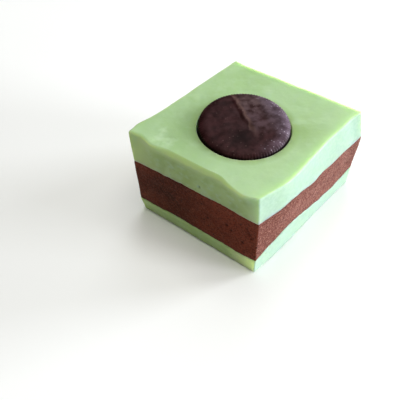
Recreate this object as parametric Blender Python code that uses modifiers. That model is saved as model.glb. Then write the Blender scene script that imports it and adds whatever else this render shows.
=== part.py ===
"""A hand-cut block of layered fudge: mint, chocolate, mint, with a chocolate disc set into its top.

The block stands on the XY plane. Its front cut face runs along +X, its left cut face along +Y, and
the origin is under the middle of its bounding box. Lengths are in metres.
"""

import math

import bmesh
import bpy
from mathutils import Matrix, Vector

MM = 0.001

# Plan of the top of the block, between its four corners
WIDTH = 53.3 * MM
DEPTH = 49.4 * MM
SKEW = math.radians(5.1)
PLAN_CENTRE = Vector((25.08 * MM, 23.75 * MM, 0.0))

# Heights of the top at the front, right, back and left corners
CROWN = (34.1 * MM, 33.5 * MM, 34.0 * MM, 35.2 * MM)

# Heights at which the corners' drift is given: foot, lower boundary, upper boundary, top
DRIFT_HEIGHTS = (0.0, 6.5 * MM, 22.6 * MM, 34.2 * MM)

# How far each corner strays from its place in that plan, in mm, at the heights above
FRONT_DRIFT = ((-0.3, 0.1), (-0.5, -0.3), (0.15, -0.15), (0.0, 0.0))
RIGHT_DRIFT = ((0.9, 0.2), (1.4, -0.1), (0.8, -1.8), (0.1, -0.6))
BACK_DRIFT = ((0.2, -0.4), (0.4, -0.2), (0.2, -0.2), (-0.25, 0.0))
LEFT_DRIFT = ((1.0, -1.5), (0.0, -1.0), (-0.45, -0.7), (-0.3, 0.3))

# How far each cut face swells at the top edge, in mm, at even steps along it
FRONT_SWELL = (0.0, 1.0, 1.85, 1.75, 1.2, 0.65, 0.1, -0.2, -0.25, -0.6, 0.0)
RIGHT_SWELL = (0.0, -0.2, -0.2, 0.0, 0.0, -0.2, -0.25, -0.3, -0.4, -0.5, 0.0)
BACK_SWELL = (0.0, 0.3, -0.4, -0.6, -0.6, -0.45, -0.2, -0.15, -0.05, -0.1, 0.0)
LEFT_SWELL = (0.0, 1.6, 0.95, -0.2, 0.15, 0.1, 0.15, 0.15, 0.5, -0.7, 0.0)

# Share of its swell that a face keeps at the foot, and the power of height that the rest grows with
SWELL_AT_FOOT = 0.3
SWELL_POWER = 2
LEFT_SWELL_AT_FOOT = 0.0
LEFT_SWELL_POWER = 7

# Heights of the two boundaries between the layers, in mm, at even steps along each cut face
UPPER_FRONT = (23.0, 23.2, 23.3, 23.3, 22.4, 21.4, 22.0, 21.7, 22.4, 22.1, 23.3)
UPPER_RIGHT = (23.3, 22.4, 21.7, 21.4, 21.6, 21.5)
UPPER_BACK = (23.4, 22.7, 22.3, 22.1, 21.7, 21.5)
UPPER_LEFT = (23.0, 23.3, 23.6, 23.7, 23.5, 23.7, 23.8, 23.7, 23.6, 23.6, 23.4)
LOWER_FRONT = (6.5, 8.3, 9.6, 10.3, 9.3, 8.1, 7.1, 6.5, 6.5, 6.8, 7.9)
LOWER_RIGHT = (7.9, 7.2, 6.6, 6.3, 6.4, 6.5)
LOWER_BACK = (6.1, 6.3, 6.6, 6.7, 6.6, 6.5)
LOWER_LEFT = (6.5, 6.0, 6.0, 6.2, 6.3, 6.4, 6.6, 6.7, 6.1, 6.0, 6.1)

# Rounding of the rim, the foot and the front, right, back and left vertical corners
RIM_RADIUS = 0.5 * MM
FOOT_RADIUS = 0.7 * MM
CORNER_RADII = (0.5 * MM, 0.9 * MM, 0.6 * MM, 1.3 * MM)

# The left edge of the top is worn: its rounding, in mm, and how far that is flattened to a bevel,
# at even steps along it. The wear fades out between these shares of the width.
LEFT_RIM = (0.6, 0.8, 1.0, 1.3, 1.4, 1.4, 1.4, 1.3, 0.9, 0.8, 1.1)
LEFT_BEVEL = (0.0, 0.1, 0.6, 1.0, 1.0, 1.0, 1.0, 0.7, 0.0, 0.0, 0.0)
WEAR_FULL, WEAR_GONE = 0.045, 0.09
ROUND_POWER = 2.0
BEVEL_POWER = 1.2

# Grid rows of each layer, and the clearance between touching pieces
ROWS_ALONG_WIDTH = 16
ROWS_ALONG_DEPTH = 15
ROWS_IN_LAYER = 4
WORN_ROWS = (0.9 * MM, 1.5 * MM)
CLEARANCE = 0.3 * MM
ROUND_ROW = 2.0 - math.sqrt(2.0)

# The disc: a flat-bottomed wafer with a fluted sloping shoulder and a low crown. It tips towards the
# front corner of the block, so that its near edge is sunk almost level with the top.
DISC_U, DISC_V = 0.447, 0.488
DISC_TIP = math.radians(5.0)
DISC_TIP_TOWARDS = math.radians(223.6)
DISC_RADIUS = 14.6 * MM
DISC_SUNK = 2.2 * MM
DISC_PROUD = 2.5 * MM
SIDE_LEAN = 0.3 * MM
SIDE_RISE = 1.3 * MM
EDGE_RISE = 0.9 * MM
SHOULDER_RADIUS = 12.0 * MM
SHOULDER_RISE = 2.1 * MM
FOOT_ROUND = 0.35 * MM
CROWN_RINGS = 6
FLUTES = 96
FLUTE_DEPTH = 0.2 * MM
RECESS_CLEARANCE = 0.35 * MM
RECESS_SIDES = 72

# The swirl on the disc's crown: a ridge along this line, in mm from the disc's middle, which falls
# gently to the side that the line has on its left and steeply to the other
RIDGE_X = (8.4, 5.4, 3.4, 1.3, 0.5, -2.3)
RIDGE_Y = (11.2, 7.6, 3.6, 0.5, -3.4, -6.4)
RIDGE_STEPS = 30
RIDGE_HEIGHT = 0.45 * MM
GENTLE_SIDE = 6.0 * MM
STEEP_SIDE = 1.6 * MM

MINT = (0.39, 0.55, 0.33, 1.0)
MINT_ROUGHNESS = 0.45
CHOCOLATE = (0.15, 0.052, 0.035, 1.0)
CHOCOLATE_ROUGHNESS = 0.6
DARK_CHOCOLATE = (0.03, 0.013, 0.014, 1.0)
DARK_ROUGHNESS = 0.3


def clear_scene():
    for item in list(bpy.data.objects):
        bpy.data.objects.remove(item, do_unlink=True)


def new_collection(name):
    collection = bpy.data.collections.new(name)
    bpy.context.scene.collection.children.link(collection)
    return collection


def material(name, colour, roughness):
    made = bpy.data.materials.new(name)
    made.use_nodes = True
    made.diffuse_color = colour
    shader = made.node_tree.nodes["Principled BSDF"]
    shader.inputs["Base Color"].default_value = colour
    shader.inputs["Roughness"].default_value = roughness
    shader.inputs["Metallic"].default_value = 0.0
    return made


def clamp(value, low, high):
    return min(max(value, low), high)


def smooth(t):
    """Eases from 0 to 1 as t goes from 0 to 1."""
    t = clamp(t, 0.0, 1.0)
    return t * t * (3.0 - 2.0 * t)


def along(stations, t):
    """Smooth curve through values at even steps, read at t between 0 and 1."""
    last = len(stations) - 1
    place = clamp(t, 0.0, 1.0) * last
    i = min(int(place), last - 1)
    f = place - i
    before = stations[max(i - 1, 0)]
    here = stations[i]
    there = stations[i + 1]
    after = stations[min(i + 2, last)]
    bend = 2.0 * before - 5.0 * here + 4.0 * there - after
    twist = 3.0 * (here - there) + after - before
    return here + 0.5 * f * ((there - before) + f * (bend + f * twist))


def between_corners(u, v, front, right, back, left):
    """Blends the values of the four corners over the plan."""
    return (1.0 - v) * ((1.0 - u) * front + u * right) + v * ((1.0 - u) * left + u * back)


def across_faces(u, v, front, right, back, left):
    """Fills the plan between four curves of values, one along each cut face."""
    ruled = (1.0 - v) * along(front, u) + v * along(back, u)
    ruled += (1.0 - u) * along(left, v) + u * along(right, v)
    return ruled - between_corners(u, v, front[0], front[-1], back[-1], back[0])


def crown_height(u, v):
    return between_corners(u, v, *CROWN)


def upper_boundary(u, v):
    return MM * across_faces(u, v, UPPER_FRONT, UPPER_RIGHT, UPPER_BACK, UPPER_LEFT)


def lower_boundary(u, v):
    return MM * across_faces(u, v, LOWER_FRONT, LOWER_RIGHT, LOWER_BACK, LOWER_LEFT)


def drift(places, z):
    """Offset of one corner at height z."""
    z = clamp(z, DRIFT_HEIGHTS[0], DRIFT_HEIGHTS[-1])
    level = 0
    while level < len(DRIFT_HEIGHTS) - 2 and z > DRIFT_HEIGHTS[level + 1]:
        level += 1
    share = smooth((z - DRIFT_HEIGHTS[level]) / (DRIFT_HEIGHTS[level + 1] - DRIFT_HEIGHTS[level]))
    low = Vector(places[level])
    return MM * low.lerp(Vector(places[level + 1]), share)


def swell_share(z, at_foot, power):
    """Share of its swell that a face has at height z."""
    return at_foot + (1.0 - at_foot) * (z / DRIFT_HEIGHTS[-1]) ** power


def plan_point(u, v, z):
    """Place of a point of the block from its shares of width and depth and its height."""
    slant = Vector((-math.sin(SKEW), math.cos(SKEW))) * DEPTH
    right = Vector((WIDTH, 0.0))
    place = between_corners(
        u,
        v,
        drift(FRONT_DRIFT, z),
        right + drift(RIGHT_DRIFT, z),
        right + slant + drift(BACK_DRIFT, z),
        slant + drift(LEFT_DRIFT, z),
    )
    share = swell_share(z, SWELL_AT_FOOT, SWELL_POWER)
    left_share = swell_share(z, LEFT_SWELL_AT_FOOT, LEFT_SWELL_POWER)
    place.x += MM * (share * u * along(RIGHT_SWELL, v) - left_share * (1.0 - u) * along(LEFT_SWELL, v))
    place.y += MM * share * (v * along(BACK_SWELL, u) - (1.0 - v) * along(FRONT_SWELL, u))
    return Vector((place.x, place.y, z)) - PLAN_CENTRE


def wear(u):
    """1 where the left edge is worn, easing to 0 away from it."""
    return smooth((WEAR_GONE - u) / (WEAR_GONE - WEAR_FULL))


def block_point(u, v, z):
    """The same place with the block's outer edges rounded."""
    top = crown_height(u, v)
    rim = RIM_RADIUS + (MM * along(LEFT_RIM, v) - RIM_RADIUS) * wear(u)
    power = ROUND_POWER + (BEVEL_POWER - ROUND_POWER) * along(LEFT_BEVEL, v) * wear(u)
    corner = between_corners(u, v, *CORNER_RADII)
    side = corner + max(rim - corner, 0.0) * smooth(2.0 + (z - top) / rim)
    a, b = u * WIDTH, v * DEPTH
    core_a = clamp(a, side, WIDTH - side)
    core_b = clamp(b, side, DEPTH - side)
    core_z = clamp(z, FOOT_RADIUS, top - rim)
    rise = rim if z > core_z else FOOT_RADIUS
    shares = (abs(a - core_a) / side, abs(b - core_b) / side, abs(z - core_z) / rise)
    reach = sum(share**power for share in shares) ** (1.0 / power)
    pull = 1.0 / max(reach, 1.0)
    a = core_a + (a - core_a) * pull
    b = core_b + (b - core_b) * pull
    return plan_point(a / WIDTH, b / DEPTH, core_z + (z - core_z) * pull)


def rows(count, start, end):
    """Shares of a length for its grid rows, with two rows over each rounded end."""
    edges = [ROUND_ROW * start, start] if start else []
    edges += [1.0 - end, 1.0 - ROUND_ROW * end] if end else []
    inner = [start + (1.0 - start - end) * i / count for i in range(1, count)]
    return edges + inner


def gridded_box(row_sets):
    """A box of side 1 with a loop of edges at each row."""
    box = bmesh.new()
    bmesh.ops.create_cube(box, size=1.0, matrix=Matrix.Translation((0.5, 0.5, 0.5)))
    for axis, shares in enumerate(row_sets):
        normal = Vector((0.0, 0.0, 0.0))
        normal[axis] = 1.0
        for share in shares:
            parts = box.verts[:] + box.edges[:] + box.faces[:]
            bmesh.ops.bisect_plane(box, geom=parts, plane_co=normal * share, plane_no=normal)
    return box


def add_layer(name, collection, floor, ceiling, foot_share, rim_share, worn_rows, finish):
    """One layer of the block, from its floor to its ceiling, both functions of the plan."""
    width_share, depth_share = RIM_RADIUS / WIDTH, RIM_RADIUS / DEPTH
    across = rows(ROWS_ALONG_WIDTH, width_share, width_share)
    inward = rows(ROWS_ALONG_DEPTH, depth_share, depth_share)
    upward = rows(ROWS_IN_LAYER, foot_share, rim_share)
    across += [row / WIDTH for row in worn_rows]
    upward += [1.0 - rim_share * row / RIM_RADIUS for row in worn_rows]
    box = gridded_box((across, inward, upward))
    for vertex in box.verts:
        u, v, share = vertex.co
        low, high = floor(u, v), ceiling(u, v)
        vertex.co = block_point(u, v, low + share * (high - low))
    mesh = bpy.data.meshes.new(name)
    box.to_mesh(mesh)
    box.free()
    layer = bpy.data.objects.new(name, mesh)
    collection.objects.link(layer)
    mesh.materials.append(finish)
    mesh.shade_smooth()
    mesh.set_sharp_from_angle(angle=math.radians(50.0))
    return layer


def add_seat(collection):
    """An empty at the middle of the disc, in the top of the fudge and tipped as the disc is."""
    step = 0.1
    across = block_point(DISC_U + step, DISC_V, crown_height(DISC_U + step, DISC_V))
    across -= block_point(DISC_U - step, DISC_V, crown_height(DISC_U - step, DISC_V))
    inward = block_point(DISC_U, DISC_V + step, crown_height(DISC_U, DISC_V + step))
    inward -= block_point(DISC_U, DISC_V - step, crown_height(DISC_U, DISC_V - step))
    lean = Vector((math.cos(DISC_TIP_TOWARDS), math.sin(DISC_TIP_TOWARDS), 0.0))
    normal = across.cross(inward).normalized() + math.tan(DISC_TIP) * lean
    seat = bpy.data.objects.new("disc_seat", None)
    seat.location = block_point(DISC_U, DISC_V, crown_height(DISC_U, DISC_V))
    seat.rotation_euler = Vector((0.0, 0.0, 1.0)).rotation_difference(normal).to_euler()
    collection.objects.link(seat)
    return seat


def disc_profile():
    """Outer line of the disc from the middle of its crown down its side to the middle of its base."""
    line = []
    for ring in range(CROWN_RINGS):
        share = ring / CROWN_RINGS
        line.append((SHOULDER_RADIUS * share, DISC_PROUD - (DISC_PROUD - SHOULDER_RISE) * share**2))
    side_top = DISC_RADIUS - SIDE_LEAN
    line += [
        (SHOULDER_RADIUS, SHOULDER_RISE),
        (0.4 * SHOULDER_RADIUS + 0.6 * side_top, 0.35 * SIDE_RISE + 0.65 * SHOULDER_RISE),
        (side_top, SIDE_RISE),
        (DISC_RADIUS, EDGE_RISE),
        (DISC_RADIUS, 0.0),
        (DISC_RADIUS, FOOT_ROUND - DISC_SUNK),
        (DISC_RADIUS - FOOT_ROUND, -DISC_SUNK),
        (0.0, -DISC_SUNK),
    ]
    return [Vector((radius, 0.0, height)) for radius, height in line]


def flute(point):
    """Draws the points of the disc's shoulder and side in and out round the disc."""
    radius = math.hypot(point.x, point.y)
    strength = smooth((radius - SHOULDER_RADIUS) / (DISC_RADIUS - SIDE_LEAN - SHOULDER_RADIUS))
    strength *= smooth(1.0 + point.z / (DISC_SUNK - FOOT_ROUND))
    wave = 0.5 - 0.5 * math.cos(FLUTES * math.atan2(point.y, point.x))
    scale = 1.0 - FLUTE_DEPTH * wave * strength / DISC_RADIUS
    return Vector((point.x * scale, point.y * scale, point.z))


def ridge_line():
    steps = [i / RIDGE_STEPS for i in range(RIDGE_STEPS + 1)]
    return [Vector((along(RIDGE_X, t), along(RIDGE_Y, t))) * MM for t in steps]


def swirl(point, line):
    """Lifts a point of the crown by its distance from the ridge."""
    place = point.xy
    nearest = min(range(RIDGE_STEPS + 1), key=lambda i: (line[i] - place).length)
    start = min(nearest, RIDGE_STEPS - 1)
    course = line[start + 1] - line[start]
    offset = place - line[nearest]
    side = GENTLE_SIDE if course.cross(offset) > 0.0 else STEEP_SIDE
    lift = 1.0 - smooth(offset.length / side)
    lift *= smooth(4.0 * (1.0 - nearest / RIDGE_STEPS))
    lift *= smooth(6.0 * (1.0 - place.length / SHOULDER_RADIUS)) * smooth(point.z / SIDE_RISE)
    return point + Vector((0.0, 0.0, RIDGE_HEIGHT * lift))


def add_disc(collection, seat, finish):
    """The turned disc, then its flutes and its swirl."""
    outline = bpy.data.meshes.new("chocolate_disc_outline")
    points = disc_profile()
    edges = [(i, i + 1) for i in range(len(points) - 1)]
    outline.from_pydata(points, edges, [])
    turned = bpy.data.objects.new("chocolate_disc_turned", outline)
    collection.objects.link(turned)
    screw = turned.modifiers.new("Turn", "SCREW")
    screw.axis = "Z"
    screw.steps = 2 * FLUTES
    screw.render_steps = 2 * FLUTES
    screw.use_merge_vertices = True
    screw.merge_threshold = 0.00001
    bpy.context.view_layer.update()
    graph = bpy.context.evaluated_depsgraph_get()
    mesh = bpy.data.meshes.new_from_object(turned.evaluated_get(graph))
    bpy.data.objects.remove(turned, do_unlink=True)
    line = ridge_line()
    for vertex in mesh.vertices:
        vertex.co = swirl(flute(vertex.co), line)
    mesh.name = "chocolate_disc"
    disc = bpy.data.objects.new("chocolate_disc", mesh)
    collection.objects.link(disc)
    disc.parent = seat
    mesh.materials.clear()
    mesh.materials.append(finish)
    mesh.shade_smooth()
    mesh.set_sharp_from_angle(angle=math.radians(50.0))
    return disc


def cut_recess(layer, cutters, seat):
    """The shallow round recess in the top layer that the disc sits in."""
    floor = -DISC_SUNK - CLEARANCE
    ceiling = 2.0 * DISC_PROUD
    shape = bmesh.new()
    bmesh.ops.create_cone(
        shape,
        cap_ends=True,
        segments=RECESS_SIDES,
        radius1=DISC_RADIUS + RECESS_CLEARANCE,
        radius2=DISC_RADIUS + RECESS_CLEARANCE,
        depth=ceiling - floor,
        matrix=Matrix.Translation((0.0, 0.0, 0.5 * (ceiling + floor))),
    )
    mesh = bpy.data.meshes.new("recess_cutter")
    shape.to_mesh(mesh)
    shape.free()
    cutter = bpy.data.objects.new("recess_cutter", mesh)
    cutters.objects.link(cutter)
    cutter.parent = seat
    cutter.hide_render = True
    cutter.display_type = "WIRE"
    cut = layer.modifiers.new("Disc recess", "BOOLEAN")
    cut.operation = "DIFFERENCE"
    cut.solver = "EXACT"
    cut.object = cutter


def build():
    clear_scene()
    parts = new_collection("fudge")
    cutters = new_collection("cutters")
    mint = material("mint_fudge", MINT, MINT_ROUGHNESS)
    chocolate = material("chocolate_fudge", CHOCOLATE, CHOCOLATE_ROUGHNESS)
    dark = material("dark_chocolate", DARK_CHOCOLATE, DARK_ROUGHNESS)
    half = 0.5 * CLEARANCE
    foot_share = FOOT_RADIUS / LOWER_LEFT[0] / MM
    rim_share = RIM_RADIUS / (CROWN[0] - UPPER_LEFT[0] * MM)

    def ground(u, v):
        return 0.0

    def below_lower(u, v):
        return lower_boundary(u, v) - half

    def above_lower(u, v):
        return lower_boundary(u, v) + half

    def below_upper(u, v):
        return upper_boundary(u, v) - half

    def above_upper(u, v):
        return upper_boundary(u, v) + half

    add_layer("bottom_layer", parts, ground, below_lower, foot_share, 0.0, (), mint)
    add_layer("middle_layer", parts, above_lower, below_upper, 0.0, 0.0, (), chocolate)
    top = add_layer("top_layer", parts, above_upper, crown_height, 0.0, rim_share, WORN_ROWS, mint)
    seat = add_seat(parts)
    add_disc(parts, seat, dark)
    cut_recess(top, cutters, seat)


build()
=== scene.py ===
"""Looks of the block of layered fudge: fine surfaces, materials, light and camera, in metres.

Each layer is one mesh lofted through rings of points that go round the block's plan. The form is the
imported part's own, and relief only goes inwards from it.
"""

import math

import bpy
import numpy as np
from mathutils import Matrix, Vector


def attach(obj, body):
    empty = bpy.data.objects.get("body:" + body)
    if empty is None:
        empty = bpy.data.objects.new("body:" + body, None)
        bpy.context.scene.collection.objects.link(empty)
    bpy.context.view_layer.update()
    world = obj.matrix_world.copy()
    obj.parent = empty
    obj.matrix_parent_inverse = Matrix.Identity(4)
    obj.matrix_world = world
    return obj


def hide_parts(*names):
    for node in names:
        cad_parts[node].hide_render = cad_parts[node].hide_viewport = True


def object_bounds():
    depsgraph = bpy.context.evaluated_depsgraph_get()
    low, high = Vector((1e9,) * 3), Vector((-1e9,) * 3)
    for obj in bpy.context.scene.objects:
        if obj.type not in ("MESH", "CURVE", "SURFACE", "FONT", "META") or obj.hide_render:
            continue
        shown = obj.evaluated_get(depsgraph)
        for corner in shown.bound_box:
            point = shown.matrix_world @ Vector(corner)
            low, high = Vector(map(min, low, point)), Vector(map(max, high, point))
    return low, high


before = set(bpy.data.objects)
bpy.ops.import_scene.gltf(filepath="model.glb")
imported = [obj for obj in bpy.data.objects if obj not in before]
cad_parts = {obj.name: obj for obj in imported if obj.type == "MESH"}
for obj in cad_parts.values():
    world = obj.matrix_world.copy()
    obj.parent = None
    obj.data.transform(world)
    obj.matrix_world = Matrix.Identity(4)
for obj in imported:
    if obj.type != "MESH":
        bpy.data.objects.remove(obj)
CAD_LOW, CAD_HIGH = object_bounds()

MM = 0.001

# Plan of the top of the block, between its four corners
WIDTH = 53.3 * MM
DEPTH = 49.4 * MM
SKEW = math.radians(5.1)
PLAN_CENTRE = (25.08 * MM, 23.75 * MM)

# Heights of the top at the front, right, back and left corners
CROWN = (34.1 * MM, 33.5 * MM, 34.0 * MM, 35.2 * MM)

# Heights at which the corners' drift is given: foot, lower boundary, upper boundary, top
DRIFT_HEIGHTS = (0.0, 6.5 * MM, 22.6 * MM, 34.2 * MM)

# How far each corner strays from its place in that plan, in mm, at the heights above
FRONT_DRIFT = ((-0.3, 0.1), (-0.5, -0.3), (0.15, -0.15), (0.0, 0.0))
RIGHT_DRIFT = ((0.9, 0.2), (1.4, -0.1), (0.8, -1.8), (0.1, -0.6))
BACK_DRIFT = ((0.2, -0.4), (0.4, -0.2), (0.2, -0.2), (-0.25, 0.0))
LEFT_DRIFT = ((1.0, -1.5), (0.0, -1.0), (-0.45, -0.7), (-0.3, 0.3))

# How far each cut face swells at the top edge, in mm, at even steps along it
FRONT_SWELL = (0.0, 1.0, 1.85, 1.75, 1.2, 0.65, 0.1, -0.2, -0.25, -0.6, 0.0)
RIGHT_SWELL = (0.0, -0.2, -0.2, 0.0, 0.0, -0.2, -0.25, -0.3, -0.4, -0.5, 0.0)
BACK_SWELL = (0.0, 0.3, -0.4, -0.6, -0.6, -0.45, -0.2, -0.15, -0.05, -0.1, 0.0)
LEFT_SWELL = (0.0, 1.6, 0.95, -0.2, 0.15, 0.1, 0.15, 0.15, 0.5, -0.7, 0.0)

# Share of its swell that a face keeps at the foot, and the power of height that the rest grows with
SWELL_AT_FOOT = 0.3
SWELL_POWER = 2
LEFT_SWELL_AT_FOOT = 0.0
LEFT_SWELL_POWER = 7

# Heights of the two boundaries between the layers, in mm, at even steps along each cut face
UPPER_FRONT = (23.0, 23.2, 23.3, 23.3, 22.4, 21.4, 22.0, 21.7, 22.4, 22.1, 23.3)
UPPER_RIGHT = (23.3, 22.4, 21.7, 21.4, 21.6, 21.5)
UPPER_BACK = (23.4, 22.7, 22.3, 22.1, 21.7, 21.5)
UPPER_LEFT = (23.0, 23.3, 23.6, 23.7, 23.5, 23.7, 23.8, 23.7, 23.6, 23.6, 23.4)
LOWER_FRONT = (6.5, 8.3, 9.6, 10.3, 9.3, 8.1, 7.1, 6.5, 6.5, 6.8, 7.9)
LOWER_RIGHT = (7.9, 7.2, 6.6, 6.3, 6.4, 6.5)
LOWER_BACK = (6.1, 6.3, 6.6, 6.7, 6.6, 6.5)
LOWER_LEFT = (6.5, 6.0, 6.0, 6.2, 6.3, 6.4, 6.6, 6.7, 6.1, 6.0, 6.1)

# Rounding of the rim, the foot and the front, right, back and left vertical corners
RIM_RADIUS = 0.5 * MM
FOOT_RADIUS = 0.7 * MM
CORNER_RADII = (0.5 * MM, 0.9 * MM, 0.6 * MM, 1.3 * MM)

# The worn left edge of the top, at even steps along it: its rounding in mm, and how far it is a bevel
LEFT_RIM = (0.6, 0.8, 1.0, 1.3, 1.4, 1.4, 1.4, 1.3, 0.9, 0.8, 1.1)
LEFT_BEVEL = (0.0, 0.1, 0.6, 1.0, 1.0, 1.0, 1.0, 0.7, 0.0, 0.0, 0.0)

# Shares of the width between which the wear fades out
WEAR_FULL, WEAR_GONE = 0.045, 0.09

# Powers of the rounded line, without and with the bevel
ROUND_POWER = 2.0
BEVEL_POWER = 1.2

# The disc and its recess
DISC_U, DISC_V = 0.447, 0.488
DISC_TIP = math.radians(5.0)
DISC_TIP_TOWARDS = math.radians(223.6)
DISC_RADIUS = 14.6 * MM
DISC_SUNK = 2.2 * MM
DISC_PROUD = 2.5 * MM
SIDE_LEAN = 0.3 * MM
SIDE_RISE = 1.3 * MM
EDGE_RISE = 0.9 * MM
SHOULDER_RADIUS = 12.0 * MM
SHOULDER_RISE = 2.1 * MM
FOOT_ROUND = 0.35 * MM
FLUTES = 96
FLUTE_DEPTH = 0.2 * MM
RECESS_CLEARANCE = 0.35 * MM
RECESS_UNDER = 0.3 * MM
LIP_RADIUS = 0.3 * MM

# Radius at which the disc's outline starts, under the disc
BASE_START = 0.5 * DISC_RADIUS

# The bend between the disc's shoulder and its side, as shares of the way out and of the way up
BEND_OUT = 0.6
BEND_UP = 0.65

# The outline's points over the crown, and the share of the crown's radius at which they stop
CROWN_POINTS = 7
CROWN_END = 0.02

# The swirl on the disc's crown
RIDGE_X = (8.4, 5.4, 3.4, 1.3, 0.5, -2.3)
RIDGE_Y = (11.2, 7.6, 3.6, 0.5, -3.4, -6.4)
RIDGE_STEPS = 120
RIDGE_HEIGHT = 0.45 * MM
GENTLE_SIDE = 6.0 * MM
STEEP_SIDE = 1.6 * MM

# The swirl fades out over the last quarter of its line, and over the outer sixth of the crown
END_FADE = 4.0
CROWN_FADE = 6.0

# Spacing of the fine surfaces
EVEN_STEP = 0.31 * MM
EDGE_STEPS = 5
TOP_RINGS = 66
TOP_CROWDING = 1.5
LIP_RINGS = 5
RECESS_RINGS = 5
INSIDE_SHARES = (0.03, 0.12, 0.4, 0.75)
STEPS_IN_FLUTE = 6
DISC_RINGS = 74

# Rounds of the searches for a point's shares of the plan and for the lip's height
PLAN_ROUNDS = 8
LIP_ROUNDS = 4

# Share of the plan, to each side of the disc's middle, over which the top's slope is taken
SLOPE_STEP = 0.1

# Numbers that scramble a lattice cell's place into a random value
HASH_PRIMES = (73856093, 19349663, 83492791)
HASH_SEED = 2654435761
HASH_MIX = 1274126177
HASH_SHIFT = 15
HASH_MASK = 0xFFFFFFFF

# Relief of each material: rows of a depth in mm, the size of the bumps in mm, and their seed
MINT_SWELLS = ((0.10, 9.0, 3),)
MINT_BUMPS = ((0.07, 3.1, 5), (0.03, 1.1, 7))
CRUMPLE_BUMPS = ((0.35, 1.9, 29),)
SMEAR_BUMPS = ((0.10, 4.0, 11), (0.05, 1.5, 13))
SMEAR_STRETCH = (0.45, 0.45, 1.0)
GRAIN_BUMPS = ((0.09, 0.8, 17), (0.07, 0.45, 41))
DISC_BUMPS = ((0.05, 2.6, 19), (0.03, 0.9, 23))

# How much deeper the mint's swells are on the top, as a share of their depth elsewhere
TOP_SWELLS = 0.8

# Knife tears along the boundaries: rows of a height in mm and the size of the tears in mm
TEARS = ((0.13, 2.4), (0.078, 1.0))
UPPER_TEARS_SEED = 31
LOWER_TEARS_SEED = 37

# The groove along each boundary
SEAM_DEPTH = 0.18 * MM
SEAM_REACH = 0.5 * MM

# The small pits in the left cut face: place and radius, in mm
PITS = (
    (-26.1, -12.6, 15.8, 0.85),
    (-25.9, -14.3, 14.4, 0.7),
    (-26.6, -5.4, 14.6, 0.7),
    (-25.4, -19.9, 18.5, 0.7),
    (-25.4, -20.7, 16.9, 0.85),
    (-25.4, -21.9, 15.4, 0.65),
    (-25.6, -18.6, 11.9, 0.75),
    (-27.0, -2.3, 26.5, 0.75),
)

# Depth of the pits, and the share of their radius inside which their painted shade is full
PIT_DEPTH = 0.45 * MM
PIT_CORE = 0.3

# The crumpled patch on the top, near the left corner
CRUMPLE_PLACE = (-24.0 * MM, 15.0 * MM, 34.5 * MM)
CRUMPLE_REACH = 6.0 * MM
CRUMPLE_FULL = 3.0 * MM

# Directions that the colours change along, and where the front cut face stands
ALONG_X = (1.0, 0.0, 0.0)
ALONG_Y = (0.0, 1.0, 0.0)
ALONG_Z = (0.0, 0.0, 1.0)
RIGHTWARDS = (0.69, -0.72, 0.0)
FRONT_LINE = -24.5 * MM
FRONT_FOOT = (-25.0 * MM, -24.0 * MM, 3.0 * MM)
FRONT_FOOT_REACH = 12.0 * MM

# The darker part of the chocolate, near the left corner
BROWN_SHADE_PLACE = (-28.0 * MM, 9.0 * MM, 15.0 * MM)
BROWN_SHADE_REACH = 12.0 * MM

# The yellower part of the top, to the right of the disc
YELLOW_PLACE = (7.0 * MM, -15.0 * MM, 34.0 * MM)
YELLOW_REACH = 11.0 * MM

# The swirl's crest, as a line over the disc, and the painted dark reflection beside its end
CREST_PLACE = (-3.9 * MM, -2.5 * MM, 36.5 * MM)
CREST_ACROSS = (0.873, -0.487, 0.0)
CREST_ALONG = (0.487, 0.873, 0.0)
CREST_END = -8.5 * MM
CREST_WOBBLE = 2.4 * MM
DARK_PLACE = (-9.6 * MM, -4.4 * MM, 36.5 * MM)
DARK_REACH = 5.5 * MM
DARK_FULL = 1.0 * MM

# Masks by place or by the way a surface faces: a direction, and where along it they start and are full
LEFT_FACE = (ALONG_X, -0.3, -0.7)
FRONT_FACE = (ALONG_Y, -0.15, -0.6)
UPRIGHT_FACES = (ALONG_Z, 0.6, 0.3)
SHEEN_FACES = (RIGHTWARDS, -0.1, 0.3)
UNDERSIDES = (ALONG_Z, -0.12, -0.38)
LIT_FORWARD_PART = (ALONG_Y, 0.0, FRONT_LINE + 6.0 * MM)
FRONT_GLOW_BAND = (ALONG_Y, FRONT_LINE + 3.5 * MM, FRONT_LINE + 0.5 * MM)
FURTHER_ON = (ALONG_X, -25.0 * MM, -5.0 * MM)
WARM_PART = (ALONG_Y, FRONT_LINE + 26.0 * MM, FRONT_LINE)
BACK_OF_CREST = (CREST_ALONG, -2.0 * MM, 8.0 * MM)
CREST_REACHED = (CREST_ALONG, CREST_END - 2.0 * MM, CREST_END + 2.0 * MM)

# Masks by the distance past the crest, and by the distance to the right of the disc's middle
CREST_SHEEN_PART = (-0.5 * MM, 0.1 * MM)
CREST_HIGHLIGHT_LINE = (1.5 * MM, 0.4 * MM)
FAR_SHEEN_PART = (6.0 * MM, 12.0 * MM)
RIGHT_PART = (2.0 * MM, 9.0 * MM)

# Masks by the distance from the disc's middle
# Painted shade in a ring round the disc's recess
RECESS_SHADE_RING = (DISC_RADIUS + 3.2 * MM, DISC_RADIUS + 0.6 * MM)
RIM_SHADE_PART = (DISC_RADIUS - 0.6 * MM, DISC_RADIUS)
OUTER_PART = (SHOULDER_RADIUS - 2.0 * MM, SHOULDER_RADIUS + 1.0 * MM)

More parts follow.
